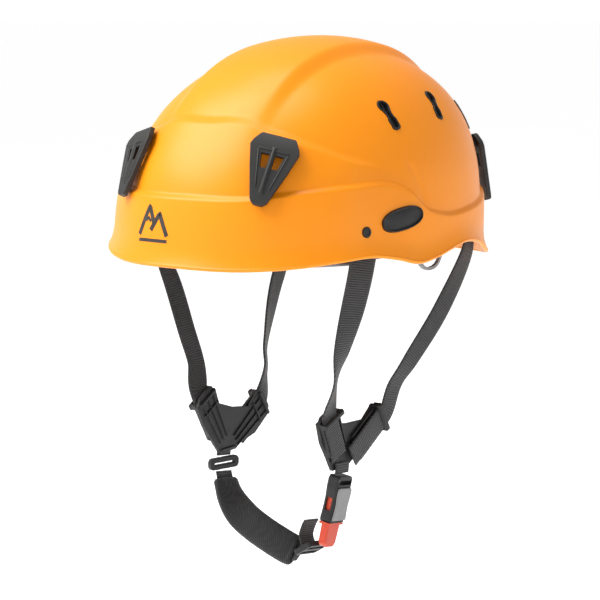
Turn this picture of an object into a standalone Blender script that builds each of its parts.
"""Climbing helmet: hard shell, foam liner, size-adjusting headband, lamp clips and chin harness.

Metres, +Z up, the wearer faces -Y and the wearer's left is +X.
The origin is the centre of the head at the level of the front edge of the shell.
"""
import math

import bmesh
import bpy
import numpy as np
from mathutils import Matrix, Vector

# ---------------------------------------------------------------- driving dimensions
MM = 0.001
GAP = 0.0003                   # running gap between pieces that touch

SHELL_HALF_LENGTH = 0.1315
SHELL_HALF_WIDTH = 0.1055
SHELL_HEIGHT = 0.1335
SHELL_THICKNESS = 0.0025
PLAN_POWER = 2.15              # superellipse power of the plan outline
CROWN_POWER = 3.0              # how square the side profile is
CROWN_ROOT = 2.0
REARWARD_LEAN = 0.017          # how far the crown's centre sits behind the rim's centre
CREST_HALF_WIDTH = 0.036
CREST_HEIGHT = 0.005
FRONT_STEP = 0.0032            # raised front band
RIM_STEP = 0.0028              # raised lower band
RIM_FLARE = 0.0030
SHELL_COLUMNS = 60
CROWN_ROWS = 6

# heights of the shell's lines around its side: (degrees from the front, millimetres)
EDGE_LINE = [(0, 2.5), (20, 2.5), (34, 4.6), (45, 7.3), (55, 8.7), (65, 5.6), (74, 1.7), (83, 3.4),
             (92, 7.0), (103, 10.0), (113, 7.5), (130, -3.0), (150, -8.0), (180, -10.0)]
RIM_BAND_LINE = [(0, 43.8), (20, 44.2), (33, 47.8), (47, 50.4), (63, 50.2), (71, 45.0), (80, 33.0),
                 (88, 29.0), (112, 29.0), (130, 33.0), (150, 40.0), (180, 42.0)]
FRONT_BAND_LINE = [(0, 87.5), (13, 87.5), (25, 81.5), (37, 73.6), (46, 67.0), (60, 61.0), (90, 57.0),
                   (180, 57.0)]
FRONT_BAND_END = (45.0, 22.0)  # degrees where the front band starts to fade, and over how many

LINER_INSET = 0.0046
LINER_THICKNESS = 0.012
LINER_EDGE_LINE = [(0, 38), (50, 37), (90, 38), (130, 46), (180, 50)]

HEAD_HALF_WIDTH = 0.0800       # inside of the headband
HEAD_HALF_LENGTH = 0.1000
HEAD_CENTRE_Y = 0.003
BAND_THICKNESS = 0.0018
BAND_LOW = 0.0005
BAND_HEIGHT = 0.022
PIVOT_Z = 0.012
RACK_THICKNESS = 0.0016
RACK_HEIGHT = 0.012
RACK_END_DEG = 153.0

ADJUSTER_Z = -0.006
WHEEL_RADIUS = 0.0135
WHEEL_RIBS = 18
PINION_TEETH = 12
PINION_RADIUS = 0.0054
PINION_TOOTH = 0.0011

WEBBING_WIDTH = 0.016
WEBBING_THICKNESS = 0.0016
DIVIDER_X = 0.0455             # centre plane of each divider
DIVIDER_Y = -0.0265
DIVIDER_Z = -0.1385            # lower end of each divider
DIVIDER_THICKNESS = 0.0026

BUCKLE_TOP = Vector((0.0478, -0.0268, -0.1435))
BUCKLE_DOWN = Vector((-0.14, -0.16, -0.977)).normalized()
HOUSING_LENGTH = 0.031
HOUSING_WIDTH = 0.018
HOUSING_DEPTH = 0.0086
CAVITY_WIDTH = 0.0142
CAVITY_DEPTH = 0.0056

CLIP_LENGTH = 0.046
CLIP_TOP_WIDTH = 0.031
CLIP_TIP_WIDTH = 0.0085
CLIP_THICKNESS = 0.0032

COLOURS = {
    "shell_plastic": ((0.93, 0.40, 0.035), 0.28),
    "black_plastic": ((0.018, 0.018, 0.020), 0.50),
    "grey_plastic": ((0.30, 0.30, 0.31), 0.45),
    "red_plastic": ((0.60, 0.045, 0.015), 0.35),
    "liner_foam": ((0.035, 0.035, 0.038), 0.85),
    "padding_fabric": ((0.020, 0.020, 0.022), 0.95),
    "webbing": ((0.016, 0.016, 0.018), 0.80),
    "screw_steel": ((0.45, 0.45, 0.46), 0.35),
}

# ---------------------------------------------------------------- scene and materials


def clear_scene():
    """Removes what the start-up file holds."""
    for item in list(bpy.data.objects):
        bpy.data.objects.remove(item, do_unlink=True)


def new_collection(name):
    collection = bpy.data.collections.new(name)
    bpy.context.scene.collection.children.link(collection)
    return collection


clear_scene()
PARTS = new_collection("climbing_helmet")
CUTTERS = new_collection("cutters")


def finish_material(name, finish):
    """A Principled material of its own for one sub-part."""
    colour, roughness = COLOURS[finish]
    material = bpy.data.materials.new(name + "_" + finish)
    material.use_nodes = True
    shader = material.node_tree.nodes["Principled BSDF"]
    shader.inputs["Base Color"].default_value = (*colour, 1.0)
    shader.inputs["Roughness"].default_value = roughness
    shader.inputs["Metallic"].default_value = 1.0 if finish == "screw_steel" else 0.0
    material.diffuse_color = (*colour, 1.0)
    return material


def add_object(name, mesh, finish, origin=None, cutter=False):
    """Links a mesh as one named object, with its origin moved to the given point."""
    item = bpy.data.objects.new(name, mesh)
    (CUTTERS if cutter else PARTS).objects.link(item)
    if cutter:
        item.hide_render = True
        item.display_type = "WIRE"
        return item
    mesh.materials.append(finish_material(name, finish))
    mesh.shade_smooth()
    mesh.set_sharp_from_angle(angle=math.radians(32))
    if origin is not None:
        origin = Vector(origin)
        mesh.transform(Matrix.Translation(-origin))
        item.location = origin
    return item


def mesh_from(name, grid):
    """Turns a bmesh into a mesh with its faces pointing out."""
    bmesh.ops.recalc_face_normals(grid, faces=grid.faces[:])
    mesh = bpy.data.meshes.new(name)
    grid.to_mesh(mesh)
    grid.free()
    return mesh


def bevelled(item, width, segments=1):
    bevel = item.modifiers.new("edge", "BEVEL")
    bevel.width = width
    bevel.segments = segments
    bevel.limit_method = "ANGLE"
    bevel.angle_limit = math.radians(40)
    return item


def boolean(item, other, operation):
    step = item.modifiers.new(operation.lower(), "BOOLEAN")
    step.operation = operation
    step.solver = "EXACT"
    step.object = other
    return item


# ---------------------------------------------------------------- curves and frames


def smooth(value):
    value = min(max(value, 0.0), 1.0)
    return value * value * (3.0 - 2.0 * value)


def line_height(table, degrees):
    """Height of a shell line at an angle from the front, smooth between the table's points."""
    degrees = abs(degrees)
    if degrees > 180.0:
        degrees = 360.0 - degrees
    angles = np.array([row[0] for row in table], float)
    heights = np.array([row[1] for row in table], float)
    slopes = np.gradient(heights, angles)
    index = min(max(int(np.searchsorted(angles, degrees, side="right")) - 1, 0), len(table) - 2)
    span = angles[index + 1] - angles[index]
    t = (degrees - angles[index]) / span
    start = (2 * t**3 - 3 * t**2 + 1) * heights[index] + (t**3 - 2 * t**2 + t) * span * slopes[index]
    end = (3 * t**2 - 2 * t**3) * heights[index + 1] + (t**3 - t**2) * span * slopes[index + 1]
    return (start + end) * MM


def catmull(points, samples):
    """Points on a smooth curve through the given ones, with the given samples in each span."""
    rows = [np.array(point, float) for point in points]
    rows = [2 * rows[0] - rows[1]] + rows + [2 * rows[-1] - rows[-2]]
    result = []
    for index in range(1, len(rows) - 2):
        before, start, end, after = rows[index - 1:index + 3]
        for step in range(samples):
            t = step / samples
            result.append(0.5 * (2 * start + (end - before) * t
                                 + (2 * before - 5 * start + 4 * end - after) * t * t
                                 + (3 * start - before - 3 * end + after) * t**3))
    result.append(rows[-2])
    return [Vector(row) for row in result]


def axes_matrix(origin, across, along, outward):
    """A placement from three directions at right angles and a point."""
    columns = Matrix((across, along, outward)).transposed()
    return Matrix.Translation(Vector(origin)) @ columns.to_4x4()


def hang_matrix(origin, along, outward):
    """A placement whose second axis runs along one direction and whose third points outward."""
    along = Vector(along).normalized()
    outward = Vector(outward)
    outward = (outward - outward.dot(along) * along).normalized()
    return axes_matrix(origin, along.cross(outward), along, outward)


# ---------------------------------------------------------------- shell surface


def crown_profile(z):
    """Share of the plan size that is left at a height."""
    ratio = min(max(z / SHELL_HEIGHT, 0.0), 1.0)
    return (1.0 - ratio**CROWN_POWER) ** (1.0 / CROWN_ROOT)


def dome_point(degrees, z, half_length, half_width):
    """A point on the plain dome with the given plan size at this height."""
    angle = math.radians(degrees)
    cosine, sine = math.cos(angle), math.sin(angle)
    reach = ((abs(cosine) / half_length)**PLAN_POWER
             + (abs(sine) / half_width)**PLAN_POWER) ** (-1.0 / PLAN_POWER)
    lean = REARWARD_LEAN * min(max(z / SHELL_HEIGHT, 0.0), 1.0)**1.5
    return Vector((reach * sine, lean - reach * cosine, z))


def shell_point(degrees, z):
    """The shell's outer surface: dome, raised bands, flared edge and crest."""
    share = crown_profile(z)
    side = abs(degrees) if abs(degrees) <= 180 else 360 - abs(degrees)
    fade = 1.0 - smooth((side - FRONT_BAND_END[0]) / FRONT_BAND_END[1])
    stand = FRONT_STEP * fade * smooth((line_height(FRONT_BAND_LINE, degrees) - z) / 0.006 + 0.5)
    stand += RIM_STEP * smooth((line_height(RIM_BAND_LINE, degrees) - z) / 0.004 + 0.5)
    flare = max(1.0 - (z - line_height(EDGE_LINE, degrees)) / 0.014, 0.0)
    stand += RIM_FLARE * min(flare, 1.0)**2
    point = dome_point(degrees, z, SHELL_HALF_LENGTH * share + stand,
                       SHELL_HALF_WIDTH * share + stand)
    across = smooth((CREST_HALF_WIDTH + 0.005 - abs(point.x)) / 0.010)
    point.z += CREST_HEIGHT * across * smooth((z - 0.070) / 0.050)
    return point


def shell_rows(degrees):
    """Heights of the mesh rows, packed close where the surface steps."""
    edge = line_height(EDGE_LINE, degrees)
    low = line_height(RIM_BAND_LINE, degrees)
    high = line_height(FRONT_BAND_LINE, degrees)
    rows = [edge, edge + 0.004, edge + 0.5 * (low - edge), low - 0.002, low + 0.002]
    rows += [0.5 * (low + high), high - 0.003, high + 0.003]
    start = crown_profile(high + 0.003)
    for step in range(1, CROWN_ROWS):
        share = start * (1.0 - step / CROWN_ROWS)
        rows.append(SHELL_HEIGHT * (1.0 - share**CROWN_ROOT) ** (1.0 / CROWN_POWER))
    return rows


def liner_point(degrees, z):
    share = crown_profile(z * SHELL_HEIGHT / (SHELL_HEIGHT - LINER_INSET))
    return dome_point(degrees, z, SHELL_HALF_LENGTH * share - LINER_INSET * min(1.0, 2 * share),
                      SHELL_HALF_WIDTH * share - LINER_INSET * min(1.0, 2 * share))


def liner_rows(degrees):
    edge = line_height(LINER_EDGE_LINE, degrees)
    scale = (SHELL_HEIGHT - LINER_INSET) / SHELL_HEIGHT
    start = crown_profile(edge / scale)
    rows = [edge]
    for step in range(1, CROWN_ROWS + 1):
        share = start * (1.0 - step / (CROWN_ROWS + 1))
        rows.append(scale * SHELL_HEIGHT * (1.0 - share**CROWN_ROOT) ** (1.0 / CROWN_POWER))
    return rows


def cap_surface(name, point_at, rows_at, top, columns):
    """An open cap: rings of points from the edge up, closed by a fan at the top."""
    grid = bmesh.new()
    rings = []
    for column in range(columns):
        degrees = 360.0 * column / columns - 180.0
        rings.append([grid.verts.new(point_at(degrees, z)) for z in rows_at(degrees)])
    pole = grid.verts.new(top)
    for column in range(columns):
        here, there = rings[column], rings[(column + 1) % columns]
        for row in range(len(here) - 1):
            grid.faces.new((here[row], there[row], there[row + 1], here[row + 1]))
        grid.faces.new((here[-1], there[-1], pole))
    return mesh_from(name, grid)


def solidified(item, thickness):
    shell = item.modifiers.new("wall", "SOLIDIFY")
    shell.thickness = thickness
    shell.offset = -1.0
    return item


def surface_frame(degrees, z, toward_z):
    """Placement on the shell: second axis up the surface toward another height, third outward."""
    here = shell_point(degrees, z)
    up = shell_point(degrees, toward_z) - here
    side = shell_point(degrees + 1.0, z) - shell_point(degrees - 1.0, z)
    outward = side.cross(up)
    if outward.dot(Vector((here.x, here.y - REARWARD_LEAN, 0.0))) < 0:
        outward.negate()
    return hang_matrix(here, up, outward)


# ---------------------------------------------------------------- flat outlines and lofts


def circle_outline(radius, count=20, centre=(0.0, 0.0)):
    return [(centre[0] + radius * math.cos(2 * math.pi * i / count),
             centre[1] + radius * math.sin(2 * math.pi * i / count)) for i in range(count)]


def rounded_box(width, height, radius, centre=(0.0, 0.0), steps=3):
    """Outline of a rectangle with round corners."""
    points = []
    for quarter, (sx, sy) in enumerate(((1, 1), (-1, 1), (-1, -1), (1, -1))):
        for step in range(steps + 1):
            angle = math.pi / 2 * (quarter + step / steps)
            points.append((centre[0] + sx * (width / 2 - radius) + radius * math.cos(angle),
                           centre[1] + sy * (height / 2 - radius) + radius * math.sin(angle)))
    return points


def flat_mesh(name, outlines, thickness, matrix):
    """A plate from flat outlines, the first one outer and the others holes."""
    curve = bpy.data.curves.new(name, "CURVE")
    curve.dimensions = "2D"
    curve.fill_mode = "BOTH"
    curve.extrude = thickness / 2
    for outline in outlines:
        spline = curve.splines.new("POLY")
        spline.points.add(len(outline) - 1)
        for point, place in zip(spline.points, outline):
            point.co = (place[0], place[1], 0.0, 1.0)
        spline.use_cyclic_u = True
    guide = bpy.data.objects.new(name + "_outline", curve)
    CUTTERS.objects.link(guide)
    bpy.context.view_layer.update()
    evaluated = guide.evaluated_get(bpy.context.evaluated_depsgraph_get())
    raw = bpy.data.meshes.new_from_object(evaluated)
    bpy.data.objects.remove(guide, do_unlink=True)
    grid = bmesh.new()
    grid.from_mesh(raw)
    bpy.data.meshes.remove(raw)
    bmesh.ops.remove_doubles(grid, verts=grid.verts[:], dist=0.000001)
    bmesh.ops.transform(grid, matrix=matrix, verts=grid.verts[:])
    return mesh_from(name, grid)


def plate(name, outlines, thickness, matrix, finish, origin=None, bevel=0.0):
    item = add_object(name, flat_mesh(name, outlines, thickness, matrix), finish, origin)
    return bevelled(item, bevel) if bevel else item


def cutter_plate(name, outlines, thickness, matrix):
    return add_object(name, flat_mesh(name, outlines, thickness, matrix), None, cutter=True)


def box_mesh(name, size, matrix):
    grid = bmesh.new()
    bmesh.ops.create_cube(grid, size=1.0)
    bmesh.ops.scale(grid, vec=Vector(size), verts=grid.verts[:])
    bmesh.ops.transform(grid, matrix=matrix, verts=grid.verts[:])
    return mesh_from(name, grid)


def round_mesh(name, radius, length, matrix, sides=24):
    grid = bmesh.new()
    bmesh.ops.create_cone(grid, cap_ends=True, segments=sides, radius1=radius, radius2=radius,
                          depth=length)
    bmesh.ops.transform(grid, matrix=matrix, verts=grid.verts[:])
    return mesh_from(name, grid)


def joined(item, mesh):
    """Unites a solid with one more block."""
    return boolean(item, add_object(item.name + "_block", mesh, None, cutter=True), "UNION")


def cut(item, mesh):
    return boolean(item, add_object(item.name + "_cut", mesh, None, cutter=True), "DIFFERENCE")


def loft_mesh(name, sections, inner=None):
    """Skins unlike sections in turn. Inner sections make it a sleeve with a passage."""
    grid = bmesh.new()
    outer = [[grid.verts.new(point) for point in section] for section in sections]
    count = len(outer[0])

    def wall(rings):
        for first, second in zip(rings, rings[1:]):
            for i in range(count):
                j = (i + 1) % count
                grid.faces.new((first[i], first[j], second[j], second[i]))

    wall(outer)
    if inner is None:
        grid.faces.new(outer[0])
        grid.faces.new(outer[-1])
    else:
        rings = [[grid.verts.new(point) for point in section] for section in inner]
        wall(rings)
        for ring, hole in ((outer[0], rings[0]), (outer[-1], rings[-1])):
            for i in range(count):
                j = (i + 1) % count
                grid.faces.new((ring[i], ring[j], hole[j], hole[i]))
    return mesh_from(name, grid)


def path_frames(points, widths):
    """Each point of a path with its width direction and the direction its broad face looks."""
    frames = []
    for index, point in enumerate(points):
        tangent = (points[min(index + 1, len(points) - 1)] - points[max(index - 1, 0)]).normalized()
        across = widths[index] - widths[index].dot(tangent) * tangent
        across.normalize()
        frames.append((point, across, tangent.cross(across)))
    return frames


def ribbon_sections(points, widths, width, thickness):
    """Rectangular sections of a strap along its path."""
    sections = []
    for point, across, face in path_frames(points, widths):
        sections.append([point + across * width / 2 * u + face * thickness / 2 * v
                         for u, v in ((1, 1), (-1, 1), (-1, -1), (1, -1))])
    return sections


def strap(name, points, width_directions, samples=4, width=WEBBING_WIDTH,
          thickness=WEBBING_THICKNESS, finish="webbing"):
    """A flat strap through the points, its width turning from one direction to the next."""
    path = catmull(points, samples)
    turns = catmull(width_directions, samples)
    sections = ribbon_sections(path, turns, width, thickness)
    return add_object(name, loft_mesh(name, sections), finish)


def facing(azimuth):
    """Horizontal direction at an angle from +X."""
    return (math.cos(math.radians(azimuth)), math.sin(math.radians(azimuth)), 0.0)


# ---------------------------------------------------------------- shell, liner and trim


def vent_outline(grow=0.0):
    """Keyhole: round head, narrow waist and a wider foot."""
    head, waist, foot = 0.0045 + grow, 0.0026 + grow, 0.0035 + grow
    points = [(head * math.cos(math.radians(a)), 0.0065 + head * math.sin(math.radians(a)))
              for a in range(-40, 221, 26)]
    lower = [(-waist, 0.0005), (-waist, -0.0020), (-foot, -0.0035 + grow), (-foot, -0.0095 - grow),
             (-foot * 0.5, -0.0108 - grow)]
    points += lower
    points += [(-x, y) for x, y in reversed(lower)]
    return points


def vent_places():
    """Head and foot of each vent slot, as (degrees, height) on the wearer's left."""
    return {"front": ((63.0, 0.1010), (69.5, 0.0815)), "middle": ((102.5, 0.1055), (98.8, 0.0845)),
            "rear": ((134.0, 0.0960), (135.0, 0.0760))}


def vent_matrix(side, ends):
    head = shell_point(side * ends[0][0], ends[0][1])
    foot = shell_point(side * ends[1][0], ends[1][1])
    degrees = side * 0.5 * (ends[0][0] + ends[1][0])
    z = 0.5 * (ends[0][1] + ends[1][1])
    outward = surface_frame(degrees, z, z + 0.004).col[2].to_3d()
    return hang_matrix(shell_point(degrees, z), head - foot, outward)


ACCESSORY_PLACE = (67.0, 0.0285)
PLUG_PLACE = (52.8, 0.0225)


def accessory_matrix(side):
    """Placement of the oval cover, its long axis rising toward the rear."""
    base = surface_frame(side * ACCESSORY_PLACE[0], ACCESSORY_PLACE[1], ACCESSORY_PLACE[1] + 0.004)
    return base @ Matrix.Rotation(math.radians(14.0 * side), 4, "Z")


def oval_outline(length, height, count=28):
    points = []
    for i in range(count):
        angle = 2 * math.pi * i / count
        cosine, sine = math.cos(angle), math.sin(angle)
        points.append((length / 2 * math.copysign(abs(cosine)**0.85, cosine),
                       height / 2 * math.copysign(abs(sine)**0.85, sine)))
    return points


def build_shell():
    top = Vector((0.0, REARWARD_LEAN, SHELL_HEIGHT + CREST_HEIGHT))
    mesh = cap_surface("outer_shell", shell_point, shell_rows, top, SHELL_COLUMNS)
    shell = solidified(add_object("outer_shell", mesh, "shell_plastic"), SHELL_THICKNESS)
    liner_top = Vector((0.0, REARWARD_LEAN, SHELL_HEIGHT - LINER_INSET))
    mesh = cap_surface("foam_liner", liner_point, liner_rows, liner_top, 36)
    liner = solidified(add_object("foam_liner", mesh, "liner_foam"), LINER_THICKNESS)
    for side, word in ((1, "left"), (-1, "right")):
        for place, ends in vent_places().items():
            matrix = vent_matrix(side, ends)
            cutter = cutter_plate("vent_cut_%s_%s" % (place, word), [vent_outline(GAP)], 0.050, matrix)
            boolean(shell, cutter, "DIFFERENCE")
            boolean(liner, cutter, "DIFFERENCE")
            middle = matrix @ Matrix.Translation((0, 0, -0.0008))
            holes = [circle_outline(0.0017, 10, (0.0, 0.0066)),
                     rounded_box(0.0034, 0.0046, 0.0008, (0.0, -0.0066), 2)]
            plate("vent_insert_%s_%s" % (place, word), [vent_outline()] + holes, 0.0038, middle,
                  "black_plastic")
        matrix = accessory_matrix(side)
        boolean(shell, cutter_plate("accessory_cut_" + word, [oval_outline(0.0366, 0.0146)], 0.03,
                                    matrix), "DIFFERENCE")
        centre = matrix @ Matrix.Translation((0, 0, 0.0002))
        plate("accessory_cover_" + word, [oval_outline(0.0360, 0.0140)], 0.0052, centre,
              "black_plastic", origin=matrix.translation, bevel=0.0008)
        base = surface_frame(side * PLUG_PLACE[0], PLUG_PLACE[1], PLUG_PLACE[1] + 0.004)
        cut(shell, round_mesh("plug_cut", 0.0035, 0.02, base, 16))
        mesh = round_mesh("shell_plug_" + word, 0.0032, 0.0042,
                          base @ Matrix.Translation((0, 0, -0.0010)), 16)
        bevelled(add_object("shell_plug_" + word, mesh, "black_plastic"), 0.0005)


def build_pads():
    """Comfort pads on the inside of the liner."""
    def inside_point(x, y):
        """Underside of the liner above a point of the plan."""
        shrink = LINER_INSET + LINER_THICKNESS + 0.0012
        share = ((abs(x) / (SHELL_HALF_WIDTH - shrink))**PLAN_POWER
                 + (abs(y - REARWARD_LEAN * 0.9) / (SHELL_HALF_LENGTH - shrink))**PLAN_POWER)
        rise = (1.0 - min(share ** (CROWN_ROOT / PLAN_POWER), 0.98)) ** (1.0 / CROWN_POWER)
        return Vector((x, y, (SHELL_HEIGHT - shrink) * rise - 0.0008))

    for word, centre, size in (("centre", (0.0, 0.018), (0.028, 0.096)),
                               ("left", (0.041, 0.018), (0.022, 0.070)),
                               ("right", (-0.041, 0.018), (0.022, 0.070))):
        grid = bmesh.new()
        rows = []
        for i in range(5):
            row = []
            for j in range(9):
                corner = 1.0 - 0.12 * abs(i / 2 - 1)**2 * abs(j / 4 - 1)**2
                row.append(grid.verts.new(inside_point(centre[0] + (i / 4 - 0.5) * size[0] * corner,
                                                       centre[1] + (j / 8 - 0.5) * size[1] * corner)))
            rows.append(row)
        for i in range(4):
            for j in range(8):
                grid.faces.new((rows[i][j], rows[i + 1][j], rows[i + 1][j + 1], rows[i][j + 1]))
        mesh = mesh_from("crown_pad_" + word, grid)
        pad = add_object("crown_pad_" + word, mesh, "padding_fabric")
        solidified(pad, -0.006 if mesh.polygons[0].normal.z < 0 else 0.006)


# ---------------------------------------------------------------- headband


def oval_point(degrees, outset, z):
    """A point on the headband's oval, moved outward."""
    angle = math.radians(degrees)
    return Vector(((HEAD_HALF_WIDTH + outset) * math.sin(angle),
                   HEAD_CENTRE_Y - (HEAD_HALF_LENGTH + outset) * math.cos(angle), z))


def band_solid(name, start, end, steps, outset, thickness, low_at, high_at, finish, origin=None):
    """An upright band along the oval between two angles."""
    sections = []
    for step in range(steps + 1):
        degrees = start + (end - start) * step / steps
        low, high = low_at(degrees), high_at(degrees)
        sections.append([oval_point(degrees, outset, low), oval_point(degrees, outset + thickness, low),
                         oval_point(degrees, outset + thickness, high),
                         oval_point(degrees, outset, high)])
    return add_object(name, loft_mesh(name, sections), finish, origin)


def along_x(centre):
    return Matrix.Translation(Vector(centre)) @ Matrix.Rotation(math.pi / 2, 4, "Y")


def along_y(centre):
    return Matrix.Translation(Vector(centre)) @ Matrix.Rotation(-math.pi / 2, 4, "X")


RACK_OUTSET = BAND_THICKNESS + 2 * GAP
PIVOT_Y = HEAD_CENTRE_Y


def rack_middle(degrees):
    """Height of the middle of the size strap, from the temple down to the adjuster."""
    share = smooth((abs(degrees) - 95.0) / 55.0)
    return PIVOT_Z + (ADJUSTER_Z - PIVOT_Z) * share


def build_headband():
    def band_low(degrees):
        return BAND_LOW + 0.004 * smooth((abs(degrees) - 78.0) / 14.0)

    def band_high(degrees):
        return BAND_LOW + BAND_HEIGHT - 0.004 * smooth((abs(degrees) - 78.0) / 14.0)

    band = band_solid("headband_front", -97.0, 97.0, 44, 0.0, BAND_THICKNESS, band_low, band_high,
                      "black_plastic")
    band_solid("brow_pad", -66.0, 66.0, 30, -0.0050 - GAP, 0.0050, lambda d: BAND_LOW + 0.001,
               lambda d: BAND_LOW + BAND_HEIGHT - 0.001, "padding_fabric")
    for side, word in ((1, "left"), (-1, "right")):
        centre = (side * HEAD_HALF_WIDTH, PIVOT_Y, PIVOT_Z)
        rack = band_solid("rack_strap_" + word, side * 83.5, side * RACK_END_DEG, 22, RACK_OUTSET,
                          RACK_THICKNESS, lambda d: rack_middle(d) - RACK_HEIGHT / 2,
                          lambda d: rack_middle(d) + RACK_HEIGHT / 2, "black_plastic", centre)
        hole = round_mesh("pivot_hole", 0.0032, 0.02, along_x(centre), 20)
        cutter = add_object("pivot_cut_" + word, hole, None, cutter=True)
        boolean(band, cutter, "DIFFERENCE")
        boolean(rack, cutter, "DIFFERENCE")
        outer = HEAD_HALF_WIDTH + RACK_OUTSET + RACK_THICKNESS + GAP
        shank = round_mesh("shank", 0.0029, outer - HEAD_HALF_WIDTH + 0.0010,
                           along_x((side * (0.5 * (outer + HEAD_HALF_WIDTH) + 0.0005), PIVOT_Y, PIVOT_Z)),
                           20)
        head = round_mesh("temple_pivot_" + word, 0.0056, 0.0018,
                          along_x((side * (outer + 0.0009), PIVOT_Y, PIVOT_Z)), 24)
        joined(add_object("temple_pivot_" + word, head, "grey_plastic", centre), shank)
        build_hangers(side, word)


def build_hangers(side, word):
    """Struts that hang the headband inside the shell, and the keeper loop at each temple."""
    for place, degrees, z, reach in (("front", 40.0, 0.012, 0.0150), ("side", 72.0, 0.018, 0.0135)):
        foot = oval_point(side * degrees, BAND_THICKNESS + GAP, z)
        outward = Vector((foot.x, foot.y * 0.75, 0.0)).normalized()
        matrix = hang_matrix(foot + outward * reach / 2, (0, 0, 1), outward)
        matrix = matrix @ Matrix.Translation((0, 0, 0.0004))
        bevelled(add_object("hanger_%s_%s" % (place, word),
                            box_mesh("hanger", (0.010, 0.005, reach - 0.0008), matrix),
                            "black_plastic"), 0.0006)
    matrix = axes_matrix((side * 0.0905, 0.0105, 0.0055), Vector((0, 1, 0)), Vector((0, 0, 1)),
                         Vector((1, 0, 0)))
    plate("strap_keeper_" + word, [oval_outline(0.030, 0.031, 24), oval_outline(0.0262, 0.0272, 24)],
          0.0022, matrix, "grey_plastic")


def build_adjuster():
    """Nape housing with its cover, wheel, pinion, screw and pad."""
    def low(degrees):
        return ADJUSTER_Z - 0.0125 + 0.004 * smooth((abs(degrees - 180.0) - 12.0) / 14.0)

    def high(degrees):
        return ADJUSTER_Z + 0.0125 - 0.004 * smooth((abs(degrees - 180.0) - 12.0) / 14.0)

    rear = HEAD_CENTRE_Y + HEAD_HALF_LENGTH
    housing = band_solid("adjuster_housing", RACK_END_DEG + 0.6, 359.4 - RACK_END_DEG, 18, 0.0015,
                         0.0080, low, high, "black_plastic")
    outer = rear + 0.0095
    bore_radius = PINION_RADIUS + PINION_TOOTH + 0.0004
    cut(housing, round_mesh("bore", bore_radius, 0.0110, along_y((0, outer, ADJUSTER_Z)), 28))
    cut(housing, box_mesh("flat", (0.060, 0.010, 0.040),
                          Matrix.Translation((0, outer + 0.005 - 0.0008, ADJUSTER_Z))))
    seat = outer - 0.0008 + GAP
    matrix = axes_matrix((0, seat + 0.0010, ADJUSTER_Z), Vector((-1, 0, 0)), Vector((0, 0, 1)),
                         Vector((0, 1, 0)))
    plate("adjuster_cover", [rounded_box(0.040, 0.0225, 0.006), circle_outline(0.0052, 24)], 0.0020,
          matrix, "black_plastic", bevel=0.0004)
    gear = []
    for tooth in range(PINION_TEETH):
        for share, reach in ((0.0, 0.0), (0.28, 0.0), (0.42, PINION_TOOTH), (0.86, PINION_TOOTH)):
            angle = 2 * math.pi * (tooth + share) / PINION_TEETH
            radius = PINION_RADIUS + reach
            gear.append((radius * math.cos(angle), radius * math.sin(angle)))
    axis_point = (0, seat, ADJUSTER_Z)
    plate("wheel_pinion", [gear], 0.0044, Matrix.Translation((0, -0.0034, 0)) @ matrix, "grey_plastic",
          origin=axis_point)
    knob = []
    for rib in range(WHEEL_RIBS):
        for share, reach in ((0.0, 0.0), (0.25, -0.0007), (0.55, -0.0007), (0.8, 0.0)):
            angle = 2 * math.pi * (rib + share) / WHEEL_RIBS
            knob.append(((WHEEL_RADIUS + reach) * math.cos(angle), (WHEEL_RADIUS + reach) * math.sin(angle)))
    front = seat + 0.0020 + GAP
    wheel = plate("size_wheel", [knob], 0.0060, Matrix.Translation((0, front + 0.0030 - seat - 0.0010, 0))
                  @ matrix, "black_plastic", origin=axis_point)
    joined(wheel, round_mesh("hub", 0.0048, 0.0034, along_y((0, front - 0.0004, ADJUSTER_Z)), 24))
    cut(wheel, round_mesh("sink", 0.0036, 0.0040, along_y((0, front + 0.0060, ADJUSTER_Z)), 20))
    screw = round_mesh("wheel_screw", 0.0033, 0.0016, along_y((0, front + 0.0051, ADJUSTER_Z)), 20)
    screw = add_object("wheel_screw", screw, "screw_steel", axis_point)
    cut(screw, box_mesh("cross", (0.0040, 0.0012, 0.0009),
                        Matrix.Translation((0, front + 0.0058, ADJUSTER_Z))))
    band_solid("nape_pad", RACK_END_DEG + 6.0, 354.0 - RACK_END_DEG, 14, -0.0040, 0.0052,
               lambda d: ADJUSTER_Z - 0.0105, lambda d: ADJUSTER_Z + 0.0105, "padding_fabric")


# ---------------------------------------------------------------- lamp clips


def clip_places():
    """Clip name with its hinge (degrees, height) and its free end."""
    return {"front": ((25.5, 0.0790), (21.7, 0.0345)), "rear": ((148.0, 0.0700), (146.0, 0.0290))}


def clip_matrix(side, ends):
    """Placement of a clip plate: origin at the middle of its hinge line, second axis up."""
    hinge = shell_point(side * ends[0][0], ends[0][1])
    tip = shell_point(side * ends[1][0], ends[1][1])
    outward = surface_frame(side * ends[1][0], 0.5 * (ends[0][1] + ends[1][1]),
                            0.5 * (ends[0][1] + ends[1][1]) + 0.004).col[2].to_3d()
    return hang_matrix(hinge, hinge - tip, outward)


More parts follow.
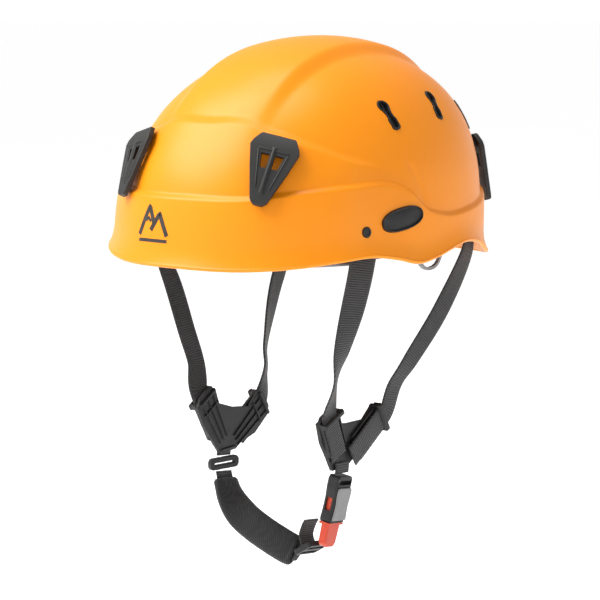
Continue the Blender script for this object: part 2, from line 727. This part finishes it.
def build_clips():
    stand = 0.0040
    for side, word in ((1, "left"), (-1, "right")):
        for place, ends in clip_places().items():
            matrix = clip_matrix(side, ends)
            top, tip, length = CLIP_TOP_WIDTH / 2, CLIP_TIP_WIDTH / 2, CLIP_LENGTH
            outline = [(-tip, -length), (tip, -length), (tip + 0.0012, -length + 0.0025),
                       (top, -0.0095), (top * 0.93, -0.0062), (top * 0.70, 0.0),
                       (-top * 0.70, 0.0), (-top * 0.93, -0.0062), (-top, -0.0095),
                       (-tip - 0.0012, -length + 0.0025)]
            windows = [[(s * 0.0012, -0.0135), (s * 0.0066, -0.0135), (s * 0.0050, -0.0225),
                        (s * 0.0012, -0.0225)] for s in (1, -1)]
            name = "lamp_clip_%s_%s" % (place, word)
            middle = matrix @ Matrix.Translation((0, 0, stand + CLIP_THICKNESS / 2))
            clip = plate(name, [outline] + windows, CLIP_THICKNESS, middle, "black_plastic",
                         origin=matrix.translation, bevel=0.0007)
            foot = matrix @ Matrix.Translation((0, -0.0050, 0.5 * (stand + 0.0020)))
            joined(clip, box_mesh("foot", (0.014, 0.0075, stand - 0.0008), foot))


# ---------------------------------------------------------------- chin harness

FRONT_STRAP = [(0.0835, -0.0530, 0.0290), (0.0833, -0.0532, 0.0165), (0.0790, -0.0520, -0.0050),
               (0.0715, -0.0490, -0.0280), (0.0625, -0.0475, -0.0560), (0.0560, -0.0455, -0.0780),
               (0.0512, -0.0420, -0.0960)]
REAR_STRAP = [(0.0735, 0.0860, 0.0230), (0.0737, 0.0862, 0.0105), (0.0740, 0.0852, -0.0080),
              (0.0690, 0.0610, -0.0440), (0.0600, 0.0385, -0.0750), (0.0530, 0.0290, -0.0920),
              (0.0512, 0.0150, -0.1035)]
# azimuth of each strap's width at its points, on the wearer's left and right
FRONT_TURNS = {1: [38, 38, 42, 52, 82, 118, 95], -1: [106, 106, 94, 84, 84, 86, 90]}
REAR_TURNS = {1: [108, 108, 92, 80, 80, 85, 90], -1: [74, 74, 88, 100, 118, 120, 95]}
DIVIDER_TIPS = {1: ((-0.0140, 0.0345), (0.0450, 0.0265)), -1: ((-0.0230, 0.0390), (0.0405, 0.0255))}


def divider_place(side, across, up, stand=0.0):
    """A point in a divider's plane, measured from its lower end."""
    return Vector((side * (DIVIDER_X + stand), DIVIDER_Y + across, DIVIDER_Z + up))


def divider_matrix(side):
    return axes_matrix((side * DIVIDER_X, DIVIDER_Y, DIVIDER_Z), Vector((0, 1, 0)), Vector((0, 0, 1)),
                       Vector((1, 0, 0)))


def divider_outline(front, rear, half=0.0112):
    """A V plate: two arms from a short foot, and a filled notch between them."""
    front, rear = Vector(front), Vector(rear)
    along_front, along_rear = front.normalized(), rear.normalized()
    side_front = Vector((along_front.y, -along_front.x))
    side_rear = Vector((-along_rear.y, along_rear.x))
    notch = (along_front + along_rear).normalized() * 0.0290
    points = [Vector((-0.0085, -0.001)), Vector((0.0085, -0.001)), Vector((0.0140, 0.0020)),
              rear * 0.62 - side_rear * half, rear - side_rear * half * 0.9,
              rear + along_rear * 0.0040 - side_rear * half * 0.5,
              rear + along_rear * 0.0040 + side_rear * half * 0.6, rear + side_rear * half * 0.95,
              rear * 0.72 + side_rear * half * 0.8, notch, front * 0.74 + side_front * half * 0.8,
              front + side_front * half * 0.95, front + along_front * 0.0040 + side_front * half * 0.6,
              front + along_front * 0.0040 - side_front * half * 0.5,
              front - side_front * half, front * 0.70 - side_front * half * 1.1,
              front * 0.38 - side_front * half * 0.9]
    return [(point.x, point.y) for point in points]


def webbing_run(side, tip, stand):
    """Middle of a strap from the top of a divider arm down its outer face."""
    return [tuple(divider_place(side, tip[0] * share, tip[1] * share, stand))
            for share in (0.90, 0.55, 0.22)]


def build_harness():
    face = DIVIDER_THICKNESS / 2 + GAP + WEBBING_THICKNESS / 2
    for side, word in ((1, "left"), (-1, "right")):
        front_tip, rear_tip = DIVIDER_TIPS[side]
        for place, route, turns, tip, stand in (
                ("front", FRONT_STRAP, FRONT_TURNS[side], front_tip, face),
                ("rear", REAR_STRAP, REAR_TURNS[side], rear_tip, face + WEBBING_THICKNESS + GAP)):
            points = [(side * x, y, z) for x, y, z in route]
            run = webbing_run(side, tip, stand)
            lean = Vector((0.0, tip[0], tip[1])).normalized()
            flat = Vector((1.0, 0.0, 0.0)).cross(lean)
            if flat.y < 0:
                flat.negate()
            widths = [facing(angle) for angle in turns[:-1]]
            widths += [tuple((Vector(facing(turns[-1])) + flat).normalized())]
            widths += [tuple(flat)] * len(run)
            if place == "front":
                points = points[:-1] + [tuple(divider_place(side, tip[0] * 1.14, tip[1] * 1.14,
                                                            face + 0.0012))]
            else:
                points = points[:-1] + [tuple(divider_place(side, tip[0] * 1.13, tip[1] * 1.13, stand))]
            strap("strap_%s_%s" % (place, word), points + run, widths)
            top = Vector(points[0])
            matrix = hang_matrix(top + Vector((0, 0, -0.0065)), (0, 0, 1),
                                 Vector(facing(turns[0] - 90.0)))
            anchor = add_object("strap_anchor_%s_%s" % (place, word),
                                box_mesh("anchor", (0.0215, 0.0110, 0.0056), matrix), "black_plastic")
            cut(anchor, box_mesh("slot", (0.0172, 0.030, 0.0027), matrix))
        build_divider(side, word, front_tip, rear_tip)


def build_divider(side, word, front_tip, rear_tip):
    """V-shaped strap divider with a bar over each strap."""
    slots = []
    for tip in (front_tip, rear_tip):
        along = Vector(tip).normalized()
        away = Vector((along.y, -along.x)) * (-1 if tip is front_tip else 1)
        middle = Vector(tip) * 0.74 + away * 0.0078
        ends = [middle - along * 0.0052, middle + along * 0.0052]
        slots.append([(ends[0].x - away.x * 0.0008, ends[0].y - away.y * 0.0008),
                      (ends[0].x + away.x * 0.0008, ends[0].y + away.y * 0.0008),
                      (ends[1].x + away.x * 0.0008, ends[1].y + away.y * 0.0008),
                      (ends[1].x - away.x * 0.0008, ends[1].y - away.y * 0.0008)])
    outline = divider_outline(front_tip, rear_tip)
    divider = plate("divider_" + word, [outline] + slots, DIVIDER_THICKNESS, divider_matrix(side),
                    "black_plastic")
    rise = DIVIDER_THICKNESS / 2 + 2 * (WEBBING_THICKNESS + GAP) + GAP
    for tip in (front_tip, rear_tip):
        along = Vector((0.0, tip[0], tip[1])).normalized()
        base = divider_place(side, tip[0] * 0.99, tip[1] * 0.99)
        across = Vector((1, 0, 0)).cross(along)
        bar = axes_matrix(base + Vector((side * (rise + 0.0009), 0, 0)), across, along,
                          across.cross(along))
        joined(divider, box_mesh("bar", (0.0220, 0.0040, 0.0018), bar))
        for end in (1, -1):
            leg = axes_matrix(base + across * end * 0.0098 + Vector((side * rise / 2, 0, 0)), across,
                              along, across.cross(along))
            joined(divider, box_mesh("leg", (0.0018, 0.0034, rise + 0.0010), leg))


def buckle_matrix():
    """Buckle frame: first axis along the width, second down its length, third outward."""
    width = Vector((0, 1, 0))
    width = (width - width.dot(BUCKLE_DOWN) * BUCKLE_DOWN).normalized()
    return axes_matrix(BUCKLE_TOP, width, BUCKLE_DOWN, width.cross(BUCKLE_DOWN))


def housing_outline(width, length):
    """Side-release housing: shoulders, a slight waist and a wider mouth."""
    half = width / 2
    right = [(half * 0.86, 0.0), (half, 0.0018), (half, 0.0080), (half * 0.90, 0.0150),
             (half * 0.92, 0.0225), (half, length - 0.0020), (half * 0.97, length)]
    return right + [(-x, y) for x, y in reversed(right)]


def build_buckle():
    frame = buckle_matrix()
    outward = -1.0 if frame.col[2].x < 0 else 1.0

    def placed(across, down, out):
        return frame @ Matrix.Translation((across, down, outward * out))

    housing = plate("buckle_housing", [housing_outline(HOUSING_WIDTH, HOUSING_LENGTH)], HOUSING_DEPTH,
                    frame, "black_plastic", bevel=0.0012)
    cavity = box_mesh("cavity", (CAVITY_WIDTH, HOUSING_LENGTH - 0.006, CAVITY_DEPTH),
                      placed(0, 0.5 * (HOUSING_LENGTH + 0.008), 0))
    cut(housing, cavity)
    cut(housing, box_mesh("slot", (0.0158, 0.0030, 0.030), placed(0, 0.0042, 0)))
    cut(housing, box_mesh("window", (0.030, 0.0085, 0.0042), placed(0, 0.0190, 0)))
    grip = [(x * 0.86, 0.0075 + y * 0.70) for x, y in housing_outline(HOUSING_WIDTH, HOUSING_LENGTH)]
    plate("buckle_grip", [grip], 0.0012, placed(0, 0, HOUSING_DEPTH / 2 + GAP + 0.0006), "grey_plastic",
          bevel=0.0003)
    mouth = HOUSING_LENGTH + GAP
    tongue = box_mesh("tongue", (0.0034, 0.0150, 0.0048), placed(0, mouth - 0.0065, 0))
    collar = box_mesh("collar", (0.0168, 0.0014, 0.0078), placed(0, mouth + 0.0007, 0))
    body = [(-0.0070, mouth + 0.001), (0.0070, mouth + 0.001), (0.0064, mouth + 0.0140),
            (0.0045, mouth + 0.0165), (-0.0045, mouth + 0.0165), (-0.0064, mouth + 0.0140)]
    plug = plate("buckle_plug", [body], 0.0060, frame, "red_plastic",
                 origin=frame @ Vector((0, HOUSING_LENGTH, 0)), bevel=0.0008)
    joined(plug, collar)
    joined(plug, tongue)
    for sign, word in ((-1, "front"), (1, "rear")):
        prong = [(sign * 0.0040, 0.0115), (sign * 0.0058, 0.0115), (sign * 0.0067, 0.0140),
                 (sign * 0.0067, 0.0240), (sign * 0.0056, 0.0265), (sign * 0.0056, mouth - GAP),
                 (sign * 0.0038, mouth - GAP)]
        if sign < 0:
            prong.reverse()
        hinge = frame @ Vector((sign * 0.0047, mouth - GAP, 0))
        plate("plug_prong_" + word, [prong], 0.0044, frame, "red_plastic", origin=hinge)
    face = DIVIDER_THICKNESS / 2 + GAP + WEBBING_THICKNESS / 2
    drop = divider_place(1, 0.0005, 0.0030, face)
    end = frame @ Vector((0, -0.0014, 0))
    strap("buckle_strap", [tuple(drop), tuple(0.5 * (drop + end) + Vector((0.0002, 0, 0))), tuple(end)],
          [(0, 1, 0)] * 3, samples=3, width=0.0150)


CHIN_ROUTE = [(-0.0478, -0.0270, -0.1534), (-0.0452, -0.0280, -0.1600), (-0.0395, -0.0295, -0.1700),
              (-0.0285, -0.0318, -0.1800), (-0.0135, -0.0340, -0.1870), (0.0020, -0.0355, -0.1925),
              (0.0150, -0.0362, -0.1964), (0.0229, -0.0361, -0.1967)]
CHIN_TURNS = [(0, 1, 0), (0.02, 1, 0.05), (0.12, 0.9, 0.25), (0.30, 0.65, 0.60), (0.40, 0.50, 0.75),
              (0.40, 0.50, 0.76), (0.35, 0.60, 0.72), (0.20, 0.80, 0.50)]
LADDER_CENTRE = Vector((0.0306, -0.0356, -0.1926))
LADDER_ALONG = Vector((0.84, 0.03, 0.54)).normalized()


def build_chin_strap():
    face = DIVIDER_THICKNESS / 2 + GAP + WEBBING_THICKNESS / 2
    upper = [tuple(divider_place(-1, 0.0, 0.0045, face)), tuple(divider_place(-1, 0.0, -0.0015, face)),
             (-0.0480, -0.0268, -0.1426)]
    strap("chin_strap_upper", upper, [(0, 1, 0)] * 3, samples=2, width=0.0150)
    matrix = hang_matrix((-0.0480, -0.0268, -0.1478), (0, 0, 1), (0.97, -0.24, 0.0))
    plate("slide_loop", [rounded_box(0.0245, 0.0080, 0.0028), rounded_box(0.0175, 0.0016, 0.0005)],
          0.0036, matrix, "black_plastic", bevel=0.0004)
    strap("chin_strap", CHIN_ROUTE, CHIN_TURNS, samples=4)
    path = catmull(CHIN_ROUTE, 4)[3:-3]
    turns = catmull(CHIN_TURNS, 4)[3:-3]
    outer, inner = [], []
    for point, across, out in path_frames(path, turns):
        ring = [(math.cos(2 * math.pi * i / 12), math.sin(2 * math.pi * i / 12)) for i in range(12)]
        outer.append([point + across * 0.0115 * math.copysign(abs(u)**0.45, u)
                      + out * 0.0036 * math.copysign(abs(v)**0.7, v) for u, v in ring])
        inner.append([point + across * 0.0086 * math.copysign(abs(u)**0.12, u)
                      + out * 0.0014 * math.copysign(abs(v)**0.12, v) for u, v in ring])
    add_object("chin_pad", loft_mesh("chin_pad", outer, inner), "padding_fabric",
               origin=path[len(path) // 2])
    build_ladder()


def build_ladder():
    """Adjuster frame at the end of the buckle plug, and the strap's folded tail."""
    across = Vector((0.10, 0.97, -0.10))
    across = (across - across.dot(LADDER_ALONG) * LADDER_ALONG).normalized()
    matrix = axes_matrix(LADDER_CENTRE, across, LADDER_ALONG, across.cross(LADDER_ALONG))
    plate("ladder_lock", [rounded_box(0.0215, 0.0150, 0.0022),
                          rounded_box(0.0172, 0.0034, 0.0008, (0.0, 0.0032), 2),
                          rounded_box(0.0172, 0.0034, 0.0008, (0.0, -0.0036), 2)], 0.0036, matrix,
          "black_plastic", bevel=0.0006)
    inward = matrix.col[2].to_3d()
    if inward.z < 0:
        inward.negate()
    start = LADDER_CENTRE - LADDER_ALONG * 0.0015 + inward * 0.0032
    tail = [start, start + LADDER_ALONG * 0.0010 + inward * 0.0060,
            start + LADDER_ALONG * 0.0055 + inward * 0.0105,
            start + LADDER_ALONG * 0.0095 + inward * 0.0130]
    strap("strap_tail", [tuple(point) for point in tail], [tuple(across)] * 4, samples=3, width=0.0150)


build_shell()
build_pads()
build_headband()
build_adjuster()
build_clips()
build_harness()
build_buckle()
build_chin_strap()
